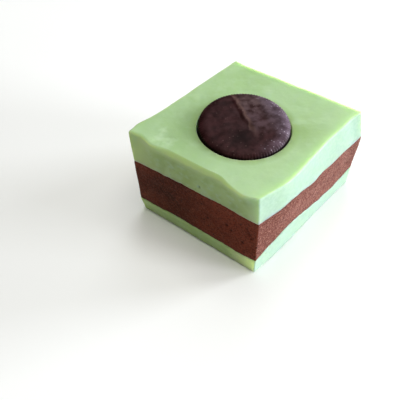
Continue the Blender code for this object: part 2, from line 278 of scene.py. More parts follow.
# Masks of noise: features to a metre, start, full, strength, detail and the scale along each axis
PATCHES = (75.0, 0.35, 0.65, 1.0, 3.0)
MILKY = (210.0, 0.5, 0.75, 0.4, 4.0, (1.0, 1.0, 0.6))
FOLD_HIGHLIGHTS = (330.0, 0.47, 0.72, 0.5)
DEEPER = (330.0, 0.48, 0.7, 0.35, 3.0)
CLOUDY = (380.0, 0.5, 0.7, 0.6, 4.0, (1.0, 1.0, 1.4))
FRONT_GRAINS = (900.0, 0.42, 0.6, 0.6, 3.0)
SMEARS = (130.0, 0.35, 0.65, 1.0, 4.0, (0.4, 0.4, 1.0))
LIGHT_GRAINS = (1700.0, 0.5, 0.62)
DARK_GRAINS = (1800.0, 0.5, 0.38, 1.0, 2.0, (1.0, 1.0, 1.3))
DISC_PATCHES = (420.0, 0.36, 0.64, 1.0, 5.0)
FLOOR_TONE = (8.0, 0.3, 0.7)

# Strength of the chocolate's grains on the left cut face and on those at the front and right
GRAIN_STRENGTHS = (0.75, 0.9)

# Noise that shifts the edges of the disc's colours: features to a metre and detail
WANDER = (380.0, 3.0)

# Specks: cells to a metre, their size as a share of a cell, then a wider noise's scale, start and full
AIR_HOLES = (420.0, 0.16, 160.0, 0.5, 0.62)
PORES = (520.0, 0.2, 240.0, 0.5, 0.6)
GLINT_DOTS = (1000.0, 0.24, 420.0, 0.43, 0.51)
CRUMBS = (900.0, 0.2, 300.0, 0.5, 0.58)

# Share of a speck's size inside which it is full
SPECK_CORE = 0.6

# Depth of the air holes and the pores
HOLE_DEPTH = 0.12 * MM
PORE_DEPTH = 0.2 * MM

# The finest relief: features to a metre, detail, height and strength
MINT_GRAIN = (900.0, 4.0, 0.05 * MM, 0.7)
CHOCOLATE_GRAIN = (1700.0, 3.0, 0.2 * MM, 1.0)
DARK_GRAIN = (700.0, 3.0, 0.05 * MM, 1.0)

# Roughness: features to a metre, detail and the two values that it wanders between
MINT_ROUGHNESS = (260.0, 3.0, 0.48, 0.66)
CHOCOLATE_ROUGHNESS = (500.0, 3.0, 0.5, 0.68)
DARK_ROUGHNESS = (350.0, 4.0, 0.36, 0.55)

# The noise at which the roughness has the one and the other of its two values
ROUGHNESS_NOISE = (0.3, 0.7)

# Colours of the mint on the top. A pair is the two ends of a range, and a tint has a strength after it.
TOP_COLOURS = ((0.365, 0.52, 0.27), (0.405, 0.56, 0.325))
# Painted light: the top lighter towards the front
FORWARD_LIGHT_TINT = ((0.45, 0.61, 0.365), 0.75)
YELLOW_TINT = ((0.325, 0.465, 0.21), 0.85)
# Painted shade: darker in a ring round the disc's recess
RECESS_SHADE_TINT = ((0.25, 0.38, 0.13), 0.7)
MILKY_COLOUR = (0.5, 0.66, 0.44)
# Lighter on the crumple's folds: a milky tone with painted highlights
FOLD_HIGHLIGHT_COLOUR = (0.57, 0.72, 0.52)

# Painted light glowing through the mint along the front edge, and painted shade in the pits and air holes
FRONT_GLOW_TINT = ((0.45, 0.615, 0.365), 0.6)
MINT_PIT_SHADE = ((0.14, 0.2, 0.08), 0.75)
HOLE_SHADE_TINT = ((0.2, 0.32, 0.14), 0.4)

# Colours of the mint on the left cut face, painted olive as its shaded side, and the masks and tints of
# the painted light in its lighter parts
LEFT_SHADED_COLOURS = ((0.33, 0.44, 0.18), (0.4, 0.52, 0.26))
DEEPER_COLOUR = (0.25, 0.34, 0.13)
CLOUDY_COLOUR = (0.42, 0.55, 0.36)
# Painted glow of light through the front corner, near its foot
FOOT_GLOW_COLOUR = (0.82, 0.95, 0.5)
LEFT_PAINTED_GLOWS = (
    ((ALONG_Y, 13.0 * MM, 21.0 * MM), ((0.47, 0.59, 0.29), 1.0)),
    ((ALONG_Y, FRONT_LINE + 5.0 * MM, FRONT_LINE), ((0.52, 0.65, 0.37), 1.0)),
    ((ALONG_Z, 10.0 * MM, 6.0 * MM), ((0.4, 0.55, 0.22), 0.6)),
    ((ALONG_Z, 31.6 * MM, 33.4 * MM), ((0.47, 0.58, 0.31), 1.0)),
)

# Colours of the mint on the front cut face, from its left end on, painted pale and bluer as its lit side
FRONT_LIT_COLOURS = ((0.385, 0.53, 0.41), (0.33, 0.455, 0.355))
FRONT_LIT_GRAIN_COLOURS = ((0.33, 0.48, 0.36), (0.285, 0.42, 0.32))

# Colours of the chocolate fudge. Its grains go from the left cut face to those at the front and right,
# which are paler with painted sheen.
BROWN_COLOURS = ((0.085, 0.019, 0.007), (0.185, 0.045, 0.021))
BROWN_SHADE_TINT = ((0.04, 0.011, 0.004), 0.8)
WARM_TINT = ((0.25, 0.06, 0.032), 0.75)
# Painted sheen on the front and right cut faces, also in the second colour of each pair of grains
SHEEN_BROWN_COLOURS = ((0.16, 0.06, 0.045), (0.205, 0.085, 0.067))
LIGHT_GRAIN_COLOURS = ((0.19, 0.054, 0.03), (0.31, 0.15, 0.12))
DARK_GRAIN_COLOURS = ((0.065, 0.017, 0.009), (0.1, 0.028, 0.02))
# Painted shade in the pits
BROWN_PIT_SHADE = ((0.02, 0.006, 0.004), 0.75)
# Painted shade on surfaces that face downwards
UNDERSIDE_SHADE = ((0.04, 0.011, 0.007), 0.85)
# Painted shade in the pores
PORE_SHADE_TINT = ((0.03, 0.01, 0.007), 0.8)

# Colours of the disc
DARK_COLOURS = ((0.026, 0.0075, 0.008), (0.056, 0.021, 0.023))
# Painted sheen past the swirl's crest, on the side turned to the light
CREST_SHEEN_BASE = (0.03, 0.011, 0.011)
CREST_SHEEN_COLOURS = ((0.078, 0.045, 0.052), (0.11, 0.07, 0.07))
# Painted shade at the disc's rim, by its recess
RIM_SHADE_TINT = ((0.012, 0.005, 0.004), 0.7)
# Painted purplish sheen, further past the crest and on the right shoulder
FAR_SHEEN_COLOURS = ((0.075, 0.05, 0.064), (0.155, 0.118, 0.155))
FAR_SHEEN_STRENGTH = 0.8
SHOULDER_SHEEN_STRENGTH = 0.5
# Painted highlight along the swirl's crest
CREST_HIGHLIGHT_TINT = ((0.15, 0.085, 0.075), 0.6)
# Painted dark reflection beside the crest's end
DARK_REFLECTION_TINT = ((0.008, 0.002, 0.002), 0.8)
# Painted glints on the flutes of the right shoulder
GLINT_COLOUR = (0.36, 0.31, 0.36)
CRUMB_TINT = ((0.17, 0.11, 0.1), 0.5)

# Colours of the tabletop
FLOOR_COLOURS = ((0.92, 0.915, 0.925), (0.945, 0.94, 0.95))

# The camera, from its fit to the photograph's edges
CAMERA_PLACE = (-0.11936, -0.09059, 0.15640)
CAMERA_YAW = math.radians(43.649)
CAMERA_DIP = math.radians(46.719)
CAMERA_ROLL = math.radians(-2.068)
LENS = 54.0
SENSOR = 36.0
NEAREST, FARTHEST = 0.01, 20.0

# The lights: bearing from +X and height in degrees, size in metres, power in watts, colour
LIGHT_DISTANCE = 1.3
DAYLIGHT = (0.92, 0.96, 1.0)
ROOM_COLOUR = (1.0, 1.0, 0.93)
LIGHTS = (
    ("window_right", -30.0, 9.0, 0.45, 18.5, DAYLIGHT),
    ("window_front", -65.0, 9.0, 0.45, 13.5, DAYLIGHT),
    ("ceiling", 0.0, 89.0, 1.2, 11.8, ROOM_COLOUR),
    ("window_behind", 31.0, 44.0, 0.7, 3.0, DAYLIGHT),
    ("fill_left", -160.0, 25.0, 1.2, 1.0, ROOM_COLOUR),
)

# The faint light of the room, and the backdrop
ROOM_TINT = (1.0, 0.98, 0.95, 1.0)
ROOM_LIGHT = 0.01
BACKDROP_TINT = (1.0, 1.0, 1.0, 1.0)
BACKDROP_LIGHT = 1.0

# Half the width of the tabletop, which ends before the windows
FLOOR_HALF = 0.9


def smooth(t):
    """Eases from 0 to 1 as t goes from 0 to 1."""
    t = np.clip(t, 0.0, 1.0)
    return t * t * (3.0 - 2.0 * t)


def along(stations, t):
    """Smooth curve through values at even steps, read at the shares t."""
    stations = np.asarray(stations, float)
    last = len(stations) - 1
    place = np.clip(t, 0.0, 1.0) * last
    i = np.minimum(place.astype(int), last - 1)
    f = place - i
    before = stations[np.maximum(i - 1, 0)]
    here = stations[i]
    there = stations[i + 1]
    after = stations[np.minimum(i + 2, last)]
    bend = 2.0 * before - 5.0 * here + 4.0 * there - after
    twist = 3.0 * (here - there) + after - before
    return here + 0.5 * f * ((there - before) + f * (bend + f * twist))


def between_corners(u, v, front, right, back, left):
    """Blends the values of the four corners over the plan."""
    return (1.0 - v) * ((1.0 - u) * front + u * right) + v * ((1.0 - u) * left + u * back)


def across_faces(u, v, front, right, back, left):
    """Fills the plan between four curves of values, one along each cut face."""
    ruled = (1.0 - v) * along(front, u) + v * along(back, u)
    ruled += (1.0 - u) * along(left, v) + u * along(right, v)
    return ruled - between_corners(u, v, front[0], front[-1], back[-1], back[0])


def ground(u, v):
    return np.zeros_like(u)


def crown_height(u, v):
    return between_corners(u, v, *CROWN)


def ragged(u, v, seed):
    """Small knife tears along a boundary, as heights in mm."""
    places = np.stack((u * WIDTH, v * DEPTH, 0.0 * u), axis=-1)
    return sum(height * bumps(places, size * MM, seed + i) for i, (height, size) in enumerate(TEARS))


def upper_boundary(u, v):
    height = across_faces(u, v, UPPER_FRONT, UPPER_RIGHT, UPPER_BACK, UPPER_LEFT)
    return MM * (height + ragged(u, v, UPPER_TEARS_SEED))


def lower_boundary(u, v):
    height = across_faces(u, v, LOWER_FRONT, LOWER_RIGHT, LOWER_BACK, LOWER_LEFT)
    return MM * (height + ragged(u, v, LOWER_TEARS_SEED))


def drift(places, z):
    """Offsets of one corner at the heights z, in x and in y."""
    heights = np.array(DRIFT_HEIGHTS)
    z = np.clip(z, heights[0], heights[-1])
    level = np.clip(np.searchsorted(heights, z) - 1, 0, len(heights) - 2)
    share = smooth((z - heights[level]) / (heights[level + 1] - heights[level]))
    low = np.array(places)[level]
    high = np.array(places)[level + 1]
    return MM * (low + share[..., None] * (high - low))


def swell_share(z, at_foot, power):
    """Share of its swell that a face has at the heights z."""
    return at_foot + (1.0 - at_foot) * (z / DRIFT_HEIGHTS[-1]) ** power


def plan_point(u, v, z):
    """Places of points of the block from their shares of width and depth and their heights."""
    slant = np.array((-math.sin(SKEW), math.cos(SKEW))) * DEPTH
    right = np.array((WIDTH, 0.0))
    plan = between_corners(
        u[..., None],
        v[..., None],
        drift(FRONT_DRIFT, z),
        right + drift(RIGHT_DRIFT, z),
        right + slant + drift(BACK_DRIFT, z),
        slant + drift(LEFT_DRIFT, z),
    )
    share = swell_share(z, SWELL_AT_FOOT, SWELL_POWER)
    left_share = swell_share(z, LEFT_SWELL_AT_FOOT, LEFT_SWELL_POWER)
    x = plan[..., 0] + MM * share * u * along(RIGHT_SWELL, v)
    x = x - MM * left_share * (1.0 - u) * along(LEFT_SWELL, v)
    y = plan[..., 1] + MM * share * (v * along(BACK_SWELL, u) - (1.0 - v) * along(FRONT_SWELL, u))
    return np.stack((x - PLAN_CENTRE[0], y - PLAN_CENTRE[1], z), axis=-1)


def wear(u):
    """1 where the left edge is worn, easing to 0 away from it."""
    return smooth((WEAR_GONE - u) / (WEAR_GONE - WEAR_FULL))


def block_point(u, v, z):
    """The same places with the block's outer edges rounded."""
    top = crown_height(u, v)
    rim = RIM_RADIUS + (MM * along(LEFT_RIM, v) - RIM_RADIUS) * wear(u)
    power = ROUND_POWER + (BEVEL_POWER - ROUND_POWER) * along(LEFT_BEVEL, v) * wear(u)
    corner = between_corners(u, v, *CORNER_RADII)
    side = corner + np.maximum(rim - corner, 0.0) * smooth(2.0 + (z - top) / rim)
    a, b = u * WIDTH, v * DEPTH
    core_a = np.clip(a, side, WIDTH - side)
    core_b = np.clip(b, side, DEPTH - side)
    core_z = np.clip(z, FOOT_RADIUS, top - rim)
    rise = np.where(z > core_z, rim, FOOT_RADIUS)
    shares = (np.abs(a - core_a) / side, np.abs(b - core_b) / side, np.abs(z - core_z) / rise)
    reach = sum(share**power for share in shares) ** (1.0 / power)
    pull = 1.0 / np.maximum(reach, 1.0)
    a = core_a + (a - core_a) * pull
    b = core_b + (b - core_b) * pull
    return plan_point(a / WIDTH, b / DEPTH, core_z + (z - core_z) * pull)


def plan_shares(x, y, z):
    """Shares of width and depth of the points of the block at x and y, found by stepping towards them."""
    u = (x + PLAN_CENTRE[0]) / WIDTH
    v = (y + PLAN_CENTRE[1]) / DEPTH
    for _ in range(PLAN_ROUNDS):
        reached = plan_point(u, v, z)
        u = u + (x - reached[..., 0]) / WIDTH
        v = v + (y - reached[..., 1]) / DEPTH
    return u, v


def random_cells(cells, seed):
    """A random number between -1 and 1 for each cell of a lattice."""
    value = np.full(cells.shape[:-1], (seed * HASH_SEED) & HASH_MASK, np.int64)
    for axis, prime in enumerate(HASH_PRIMES):
        value ^= (cells[..., axis] * prime) & HASH_MASK
        value = ((value ^ (value >> HASH_SHIFT)) * HASH_MIX) & HASH_MASK
    return value / (0.5 * HASH_MASK) - 1.0


def bumps(points, size, seed):
    """A smooth random field between -1 and 1, with bumps about size across."""
    place = points / size
    cell = np.floor(place).astype(np.int64)
    share = smooth(place - cell)
    total = 0.0
    for corner in np.ndindex(2, 2, 2):
        weight = np.prod(np.where(np.array(corner) == 1, share, 1.0 - share), axis=-1)
        total = total + weight * random_cells(cell + np.array(corner), seed)
    return total


def hollows(points, rows):
    """Depths, in metres, of the bumps that the rows give, added up."""
    return MM * sum(depth * (0.5 - 0.5 * bumps(points, size * MM, seed)) for depth, size, seed in rows)


def edge_rows(length, radius, both_ends=True):
    """Shares of a length for even rows, with closer rows over its rounded ends."""
    close = np.linspace(0.0, radius, EDGE_STEPS + 1)[:-1]
    far_end = length - radius if both_ends else length
    middle = np.linspace(radius, far_end, max(2, round((far_end - radius) / EVEN_STEP)))
    parts = [close, middle]
    if both_ends:
        parts.append(length - close[::-1])
    return np.concatenate(parts) / length


def perimeter():
    """Shares of width and depth of points round the block's plan, anticlockwise from its front corner."""
    across = edge_rows(WIDTH, RIM_RADIUS)[:-1]
    inward = edge_rows(DEPTH, RIM_RADIUS)[:-1]
    u = np.concatenate((across, np.ones_like(inward), 1.0 - across, np.zeros_like(inward)))
    v = np.concatenate((np.zeros_like(across), inward, np.ones_like(across), 1.0 - inward))
    return u, v


def seat_matrix():
    """The middle of the disc, in the top of the fudge and tipped as the disc is."""
    u = np.array((DISC_U, DISC_U + SLOPE_STEP, DISC_U - SLOPE_STEP, DISC_U, DISC_U))
    v = np.array((DISC_V, DISC_V, DISC_V, DISC_V + SLOPE_STEP, DISC_V - SLOPE_STEP))
    middle, right, left, back, front = (Vector(p) for p in block_point(u, v, crown_height(u, v)))
    lean = Vector((math.cos(DISC_TIP_TOWARDS), math.sin(DISC_TIP_TOWARDS), 0.0))
    normal = (right - left).cross(back - front).normalized() + math.tan(DISC_TIP) * lean
    tilt = Vector((0.0, 0.0, 1.0)).rotation_difference(normal).to_matrix().to_4x4()
    return Matrix.Translation(middle) @ tilt


def placed(matrix, points):
    """Points of the matrix's own space in the block's."""
    matrix = np.array(matrix)
    return points @ matrix[:3, :3].T + matrix[:3, 3]


def mesh_piece(name, points, faces, finish):
    mesh = bpy.data.meshes.new(name)
    mesh.from_pydata(points, [], faces)
    mesh.materials.append(finish)
    mesh.shade_smooth()
    piece = bpy.data.objects.new(name, mesh)
    bpy.context.scene.collection.objects.link(piece)
    return piece


def loft(name, rings, finish):
    """A closed mesh through rings of points, its two ends closed by fans to their middles."""
    count, around = len(rings), len(rings[0])
    points = np.concatenate((rings.reshape(-1, 3), rings[:1].mean(axis=1), rings[-1:].mean(axis=1)))
    here = np.arange(around)
    following = (here + 1) % around
    faces = []
    for ring in range(count - 1):
        low, high = ring * around, (ring + 1) * around
        faces += np.stack((low + here, low + following, high + following, high + here), axis=1).tolist()
    bottom, top = count * around, count * around + 1
    faces += [(bottom, after, i) for i, after in zip(here.tolist(), following.tolist())]
    last = (count - 1) * around
    faces += [(top, last + i, last + after) for i, after in zip(here.tolist(), following.tolist())]
    return mesh_piece(name, points.tolist(), faces, finish)


def vertex_array(mesh, of_normals=False):
    values = np.empty(3 * len(mesh.vertices), np.float32)
    if of_normals:
        mesh.vertex_normals.foreach_get("vector", values)
    else:
        mesh.vertices.foreach_get("co", values)
    return values.reshape(-1, 3).astype(float)


def carve(piece, relief):
    """Moves each point of a piece inwards by the relief's depth there, and keeps it in the part's box.

    Where two layers meet, the points only move sideways, so that no gap opens between the layers.
    """
    mesh = piece.data
    points = vertex_array(mesh)
    normals = vertex_array(mesh, of_normals=True)
    depth = relief(points, normals) * smooth(points[:, 2] / FOOT_RADIUS)
    normals[:, 2] *= 1.0 - near_boundaries(points)
    points = points - normals * depth[:, None]
    points = np.clip(points, np.array(CAD_LOW), np.array(CAD_HIGH))
    mesh.vertices.foreach_set("co", points.astype(np.float32).ravel())
    mesh.update()


def wall_rings(u, v, floor, ceiling, shares):
    """Rings up the side of a layer, from its floor to its ceiling."""
    low, high = floor(u, v), ceiling(u, v)
    return [block_point(u, v, low + share * (high - low)) for share in shares]


def inner_rings(u, v, surface, shares):
    """Rings over a surface that lies inside the block, from its edge to near its middle."""
    rings = []
    for share in shares:
        near_u, near_v = u + (0.5 - u) * share, v + (0.5 - v) * share
        rings.append(block_point(near_u, near_v, surface(near_u, near_v)))
    return rings


def top_rings(u, v, seat):
    """Rings over the top, from its rim to the lip of the recess, then down into the recess."""
    rim = block_point(u, v, crown_height(u, v)) - np.array(seat.translation)
    angle = np.arctan2(rim[:, 1], rim[:, 0])
    spokes = np.stack((np.cos(angle), np.sin(angle), np.zeros_like(angle)), axis=1)
    lip_start = DISC_RADIUS + RECESS_CLEARANCE + LIP_RADIUS
    up = np.array((0.0, 0.0, 1.0))
    lip_rise = np.zeros((len(angle), 1))
    for _ in range(LIP_ROUNDS):
        lip = placed(seat, lip_start * spokes + lip_rise * up)
        lip_u, lip_v = plan_shares(lip[:, 0], lip[:, 1], lip[:, 2])
        lip_rise += (crown_height(lip_u, lip_v) - lip[:, 2])[:, None]
    rings = []
    for share in (np.arange(1, TOP_RINGS + 1) / TOP_RINGS) ** TOP_CROWDING:
        near_u, near_v = u + (lip_u - u) * share, v + (lip_v - v) * share
        rings.append(block_point(near_u, near_v, crown_height(near_u, near_v)))
    for turn in np.linspace(0.0, 0.5 * math.pi, LIP_RINGS + 1)[1:]:
        radius = lip_start - LIP_RADIUS * math.sin(turn)
        fall = LIP_RADIUS * (1.0 - math.cos(turn))
        rings.append(placed(seat, radius * spokes + (lip_rise - fall) * up))
    wall = (lip_start - LIP_RADIUS) * spokes
    wall_top = lip_rise - LIP_RADIUS
    floor = -DISC_SUNK - RECESS_UNDER
    for share in np.arange(1, RECESS_RINGS + 1) / RECESS_RINGS:
        rings.append(placed(seat, wall + (wall_top + (floor - wall_top) * share) * up))
    for share in INSIDE_SHARES:
        rings.append(placed(seat, wall * (1.0 - share) + floor * up))
    return rings


def layer(name, floor, ceiling, heights, finish, top=None):
    """One layer of the block, from its floor to its ceiling, both functions of the plan."""
    u, v = perimeter()
    rings = inner_rings(u, v, floor, INSIDE_SHARES[::-1])
    rings += wall_rings(u, v, floor, ceiling, heights)
    rings += inner_rings(u, v, ceiling, INSIDE_SHARES) if top is None else top_rings(u, v, top)
    return loft(name, np.array(rings), finish)


def near_boundaries(points):
    """1 on a boundary between two layers, easing to 0 away from it."""
    u, v = plan_shares(points[:, 0], points[:, 1], points[:, 2])
    u, v = np.clip(u, 0.0, 1.0), np.clip(v, 0.0, 1.0)
    gap = np.abs(points[:, 2] - upper_boundary(u, v))
    gap = np.minimum(gap, np.abs(points[:, 2] - lower_boundary(u, v)))
    return 1.0 - smooth(gap / SEAM_REACH)


def pitted(points):
    """1 at the middle of a pit, easing to 0 away from it."""
    pits = MM * np.array(PITS)
    gaps = np.linalg.norm(points[:, None, :] - pits[None, :, :3], axis=2) / pits[:, 3]
    return smooth(1.0 - gaps.min(axis=1))


def grooves(points):
    """Depths of the grooves along the boundaries and of the pits."""
    return SEAM_DEPTH * near_boundaries(points) + PIT_DEPTH * pitted(points)


def mint_relief(points, normals):
    """Waxy swells and small bumps on the mint, and its crumpled patch."""
    upward = smooth(normals[:, 2])
    swells = (1.0 + TOP_SWELLS * upward) * hollows(points, MINT_SWELLS)
    reach = np.linalg.norm(points - np.array(CRUMPLE_PLACE), axis=1)
    crumple = upward * smooth(1.0 - reach / CRUMPLE_REACH) * hollows(points, CRUMPLE_BUMPS)
    return swells + hollows(points, MINT_BUMPS) + crumple + grooves(points)


def chocolate_relief(points, normals):
    """Dragged smears and grains on the chocolate."""
    smears = hollows(points * np.array(SMEAR_STRETCH), SMEAR_BUMPS)
    return smears + hollows(points, GRAIN_BUMPS) + grooves(points)


def ridge_line():
    steps = np.arange(RIDGE_STEPS + 1) / RIDGE_STEPS
    return np.stack((along(RIDGE_X, steps), along(RIDGE_Y, steps)), axis=1) * MM


def swirl_lift(points):
    """How far the swirl lifts points of the crown, by their distance from the ridge."""
    line = ridge_line()
    places = points[:, :2]
    gaps = np.linalg.norm(places[:, None, :] - line[None, :, :], axis=2)
    nearest = gaps.argmin(axis=1)
    start = np.minimum(nearest, RIDGE_STEPS - 1)
    course = line[start + 1] - line[start]
    offset = places - line[nearest]
    turn = course[:, 0] * offset[:, 1] - course[:, 1] * offset[:, 0]
    side = np.where(turn > 0.0, GENTLE_SIDE, STEEP_SIDE)
    lift = 1.0 - smooth(gaps.min(axis=1) / side)
    lift *= smooth(END_FADE * (1.0 - nearest / RIDGE_STEPS))
    radius = np.linalg.norm(places, axis=1)
    return RIDGE_HEIGHT * lift * smooth(CROWN_FADE * (1.0 - radius / SHOULDER_RADIUS))


def disc_line():
    """Outer line of the disc, radius and height, from its base up its side to its crown."""
    side_top = DISC_RADIUS - SIDE_LEAN
    crown_shares = np.linspace(1.0, CROWN_END, CROWN_POINTS)
    crown_fall = (DISC_PROUD - SHOULDER_RISE) * crown_shares**2
    radii = [BASE_START, DISC_RADIUS - FOOT_ROUND, DISC_RADIUS, DISC_RADIUS, DISC_RADIUS, side_top]
    radii.append((1.0 - BEND_OUT) * SHOULDER_RADIUS + BEND_OUT * side_top)
    radii.extend(SHOULDER_RADIUS * crown_shares)
    heights = [-DISC_SUNK, -DISC_SUNK, FOOT_ROUND - DISC_SUNK, 0.0, EDGE_RISE, SIDE_RISE]
    heights.append((1.0 - BEND_UP) * SIDE_RISE + BEND_UP * SHOULDER_RISE)
    heights.extend(DISC_PROUD - crown_fall)
    return radii, heights


def add_disc(seat, finish):
    """The wafer, with a fluted side and a swirl on its crown."""
    radii, heights = disc_line()
    shares = np.linspace(0.0, 1.0, DISC_RINGS)
    angle = np.linspace(0.0, 2.0 * math.pi, FLUTES * STEPS_IN_FLUTE, endpoint=False)
    wave = 0.5 - 0.5 * np.cos(FLUTES * angle)
    rings = []
    for radius, height in zip(along(radii, shares), along(heights, shares)):
        fluted = smooth((radius - SHOULDER_RADIUS) / (DISC_RADIUS - SIDE_LEAN - SHOULDER_RADIUS))
        fluted *= smooth(1.0 + height / (DISC_SUNK - FOOT_ROUND))
        drawn_in = radius - FLUTE_DEPTH * wave * fluted
        ring = np.stack((drawn_in * np.cos(angle), drawn_in * np.sin(angle), 0.0 * angle + height), axis=1)
        if height > SIDE_RISE:
            ring[:, 2] += swirl_lift(ring)
        rings.append(placed(seat, ring))
    return loft("chocolate_disc_fine", np.array(rings), finish)


def disc_relief(points, normals):
    """Small bumps on the disc."""
    return hollows(points, DISC_BUMPS)


def add_node(tree, kind, inputs=None, **settings):
    """A shader node, with its settings and with its inputs linked or set."""
    made = tree.nodes.new(kind)
    for name, value in settings.items():
        setattr(made, name, value)
    for name, value in (inputs or {}).items():
        if isinstance(value, bpy.types.NodeSocket):
            tree.links.new(value, made.inputs[name])
        else:
            made.inputs[name].default_value = value
    return made


def noise(tree, where, scale, detail=2.0, stretch=(1.0, 1.0, 1.0)):
    """Noise between 0 and 1, with scale features to a metre."""
    mapped = add_node(tree, "ShaderNodeMapping", {"Vector": where, "Scale": stretch})
    inputs = {"Vector": mapped.outputs["Vector"], "Scale": scale, "Detail": detail}
    return add_node(tree, "ShaderNodeTexNoise", inputs).outputs["Fac"]


def remap(tree, value, low, high, to_low=0.0, to_high=1.0):
    """Carries values from one range to another and stops at its ends."""
    inputs = {"Value": value, "From Min": low, "From Max": high, "To Min": to_low, "To Max": to_high}
    return add_node(tree, "ShaderNodeMapRange", inputs).outputs["Result"]


def clouds(tree, where, scale, start, full, strength=1.0, detail=2.0, stretch=(1.0, 1.0, 1.0)):
    """A mask of noise: 0 where the noise is at start, and its strength where it is at full."""
    return remap(tree, noise(tree, where, scale, detail, stretch), start, full, 0.0, strength)


def mixed(tree, share, first, second):
    """Blends two colours."""
    made = add_node(tree, "ShaderNodeMix", data_type="RGBA")
    for socket, value in zip((made.inputs[0], made.inputs[6], made.inputs[7]), (share, first, second)):
        if isinstance(value, bpy.types.NodeSocket):
            tree.links.new(value, socket)
        else:
            socket.default_value = (*value, 1.0)
    return made.outputs[2]


def product(tree, first, second):
    made = add_node(tree, "ShaderNodeMath", operation="MULTIPLY")
    tree.links.new(first, made.inputs[0])
    if isinstance(second, bpy.types.NodeSocket):
        tree.links.new(second, made.inputs[1])
    else:
        made.inputs[1].default_value = second
    return made.outputs[0]


def tinted(tree, colour, mask, tint, strength):
    """Moves a colour towards a tint, by a mask and a strength."""
    return mixed(tree, product(tree, mask, strength), colour, tint)


def specks(tree, where, scale, size, spread, start, full):
    """1 inside small specks, which are there only where a wider noise lets them be."""
    cells = add_node(tree, "ShaderNodeTexVoronoi", {"Vector": where, "Scale": scale})
    inside = remap(tree, cells.outputs["Distance"], size, SPECK_CORE * size)
    return product(tree, inside, clouds(tree, where, spread, start, full))


def rising(tree, where, direction, start, full):
    """Goes from 0 to 1 as a vector's part along a direction goes from start to full."""
    made = add_node(tree, "ShaderNodeVectorMath", operation="DOT_PRODUCT")
    tree.links.new(where, made.inputs[0])
    made.inputs[1].default_value = direction
    return remap(tree, made.outputs["Value"], start, full)


def beyond(tree, where, place, direction, start, full):
    """Goes from 0 to 1 between two distances from a place along a direction."""
    here = sum(a * b for a, b in zip(place, direction))
    return rising(tree, where, direction, here + start, here + full)


def nearness(tree, where, place, start, full=0.0):
    """Goes from 0 to 1 as the distance from a place goes from start to full."""
    made = add_node(tree, "ShaderNodeVectorMath", operation="DISTANCE")
    tree.links.new(where, made.inputs[0])
    made.inputs[1].default_value = place
    return remap(tree, made.outputs["Value"], start, full)


def painted_pit_shade(tree, where, colour, dark, strength):
    """Paints shade inside the pits, darkening a colour there."""
    for *place, radius in PITS:
        near = nearness(tree, where, [MM * part for part in place], MM * radius, PIT_CORE * MM * radius)
        colour = tinted(tree, colour, near, dark, strength)
    return colour


def raised(tree, height, distance, under=None, strength=1.0):
    """Bump normal from a height between 0 and 1 that stands for a distance in metres."""
    inputs = {"Height": height, "Distance": distance, "Strength": strength}
    if under is not None:
        inputs["Normal"] = under
    return add_node(tree, "ShaderNodeBump", inputs).outputs["Normal"]


def grained(tree, where, scale, detail, distance, strength):
    """Bump normal of the finest relief."""
    return raised(tree, noise(tree, where, scale, detail), distance, strength=strength)


def sunken(tree, holes, depth, under):
    """Bump normal of small holes in a surface that has a bump normal of its own."""
    return raised(tree, remap(tree, holes, 1.0, 0.0), depth, under)


def roughness(tree, where, scale, detail, low, high):
    """Roughness that wanders between two values."""
    return remap(tree, noise(tree, where, scale, detail), *ROUGHNESS_NOISE, low, high)


def new_material(name):
    """A material with its node tree, and the places on the piece in metres."""
    made = bpy.data.materials.new(name)
    made.use_nodes = True
    places = add_node(made.node_tree, "ShaderNodeTexCoord").outputs["Object"]
    return made, made.node_tree, places


def directions(tree):
    """The directions that the surface faces."""
    return add_node(tree, "ShaderNodeTexCoord").outputs["Normal"]


def set_shader(tree, links, values):
    """Links nodes to the shader's sockets, and sets the sockets that are the same all over."""
    shader = tree.nodes["Principled BSDF"]
    for name, output in links.items():
        tree.links.new(output, shader.inputs[name])
    for name, value in values.items():
        shader.inputs[name].default_value = value


def top_colour(tree, where, middle):
    """Mint on the top: painted light at the front, yellower right of the disc, painted shade round the
    recess, milky.
    """
    colour = mixed(tree, clouds(tree, where, *PATCHES), *TOP_COLOURS)
    # Painted light, lighter towards the front
    colour = tinted(tree, colour, rising(tree, where, *LIT_FORWARD_PART), *FORWARD_LIGHT_TINT)
    colour = tinted(tree, colour, nearness(tree, where, YELLOW_PLACE, YELLOW_REACH), *YELLOW_TINT)
    # Painted shade round the disc's recess
    colour = tinted(tree, colour, nearness(tree, where, middle, *RECESS_SHADE_RING), *RECESS_SHADE_TINT)
    colour = mixed(tree, clouds(tree, where, *MILKY), colour, MILKY_COLOUR)
    crumple = nearness(tree, where, CRUMPLE_PLACE, CRUMPLE_REACH, CRUMPLE_FULL)
    # The crumple's folds, a milky tone with painted highlights
    fold_highlights = product(tree, clouds(tree, where, *FOLD_HIGHLIGHTS), crumple)
    return mixed(tree, fold_highlights, colour, FOLD_HIGHLIGHT_COLOUR)


def shaded_left_colour(tree, where):
    """Mint on the left cut face: painted olive as shade and cloudy, with painted light at both ends, under
    the rim and at its foot.
    """
    # Painted shade: an olive copy of the mint for the shaded side
    colour = mixed(tree, clouds(tree, where, *PATCHES), *LEFT_SHADED_COLOURS)
    colour = mixed(tree, clouds(tree, where, *DEEPER), colour, DEEPER_COLOUR)
    colour = mixed(tree, clouds(tree, where, *CLOUDY), colour, CLOUDY_COLOUR)
    # Painted light at both ends, under the rim and near the foot
    for part, tint in LEFT_PAINTED_GLOWS:
        colour = tinted(tree, colour, rising(tree, where, *part), *tint)
    # Painted glow near the front corner's foot
    return mixed(tree, nearness(tree, where, FRONT_FOOT, FRONT_FOOT_REACH), colour, FOOT_GLOW_COLOUR)


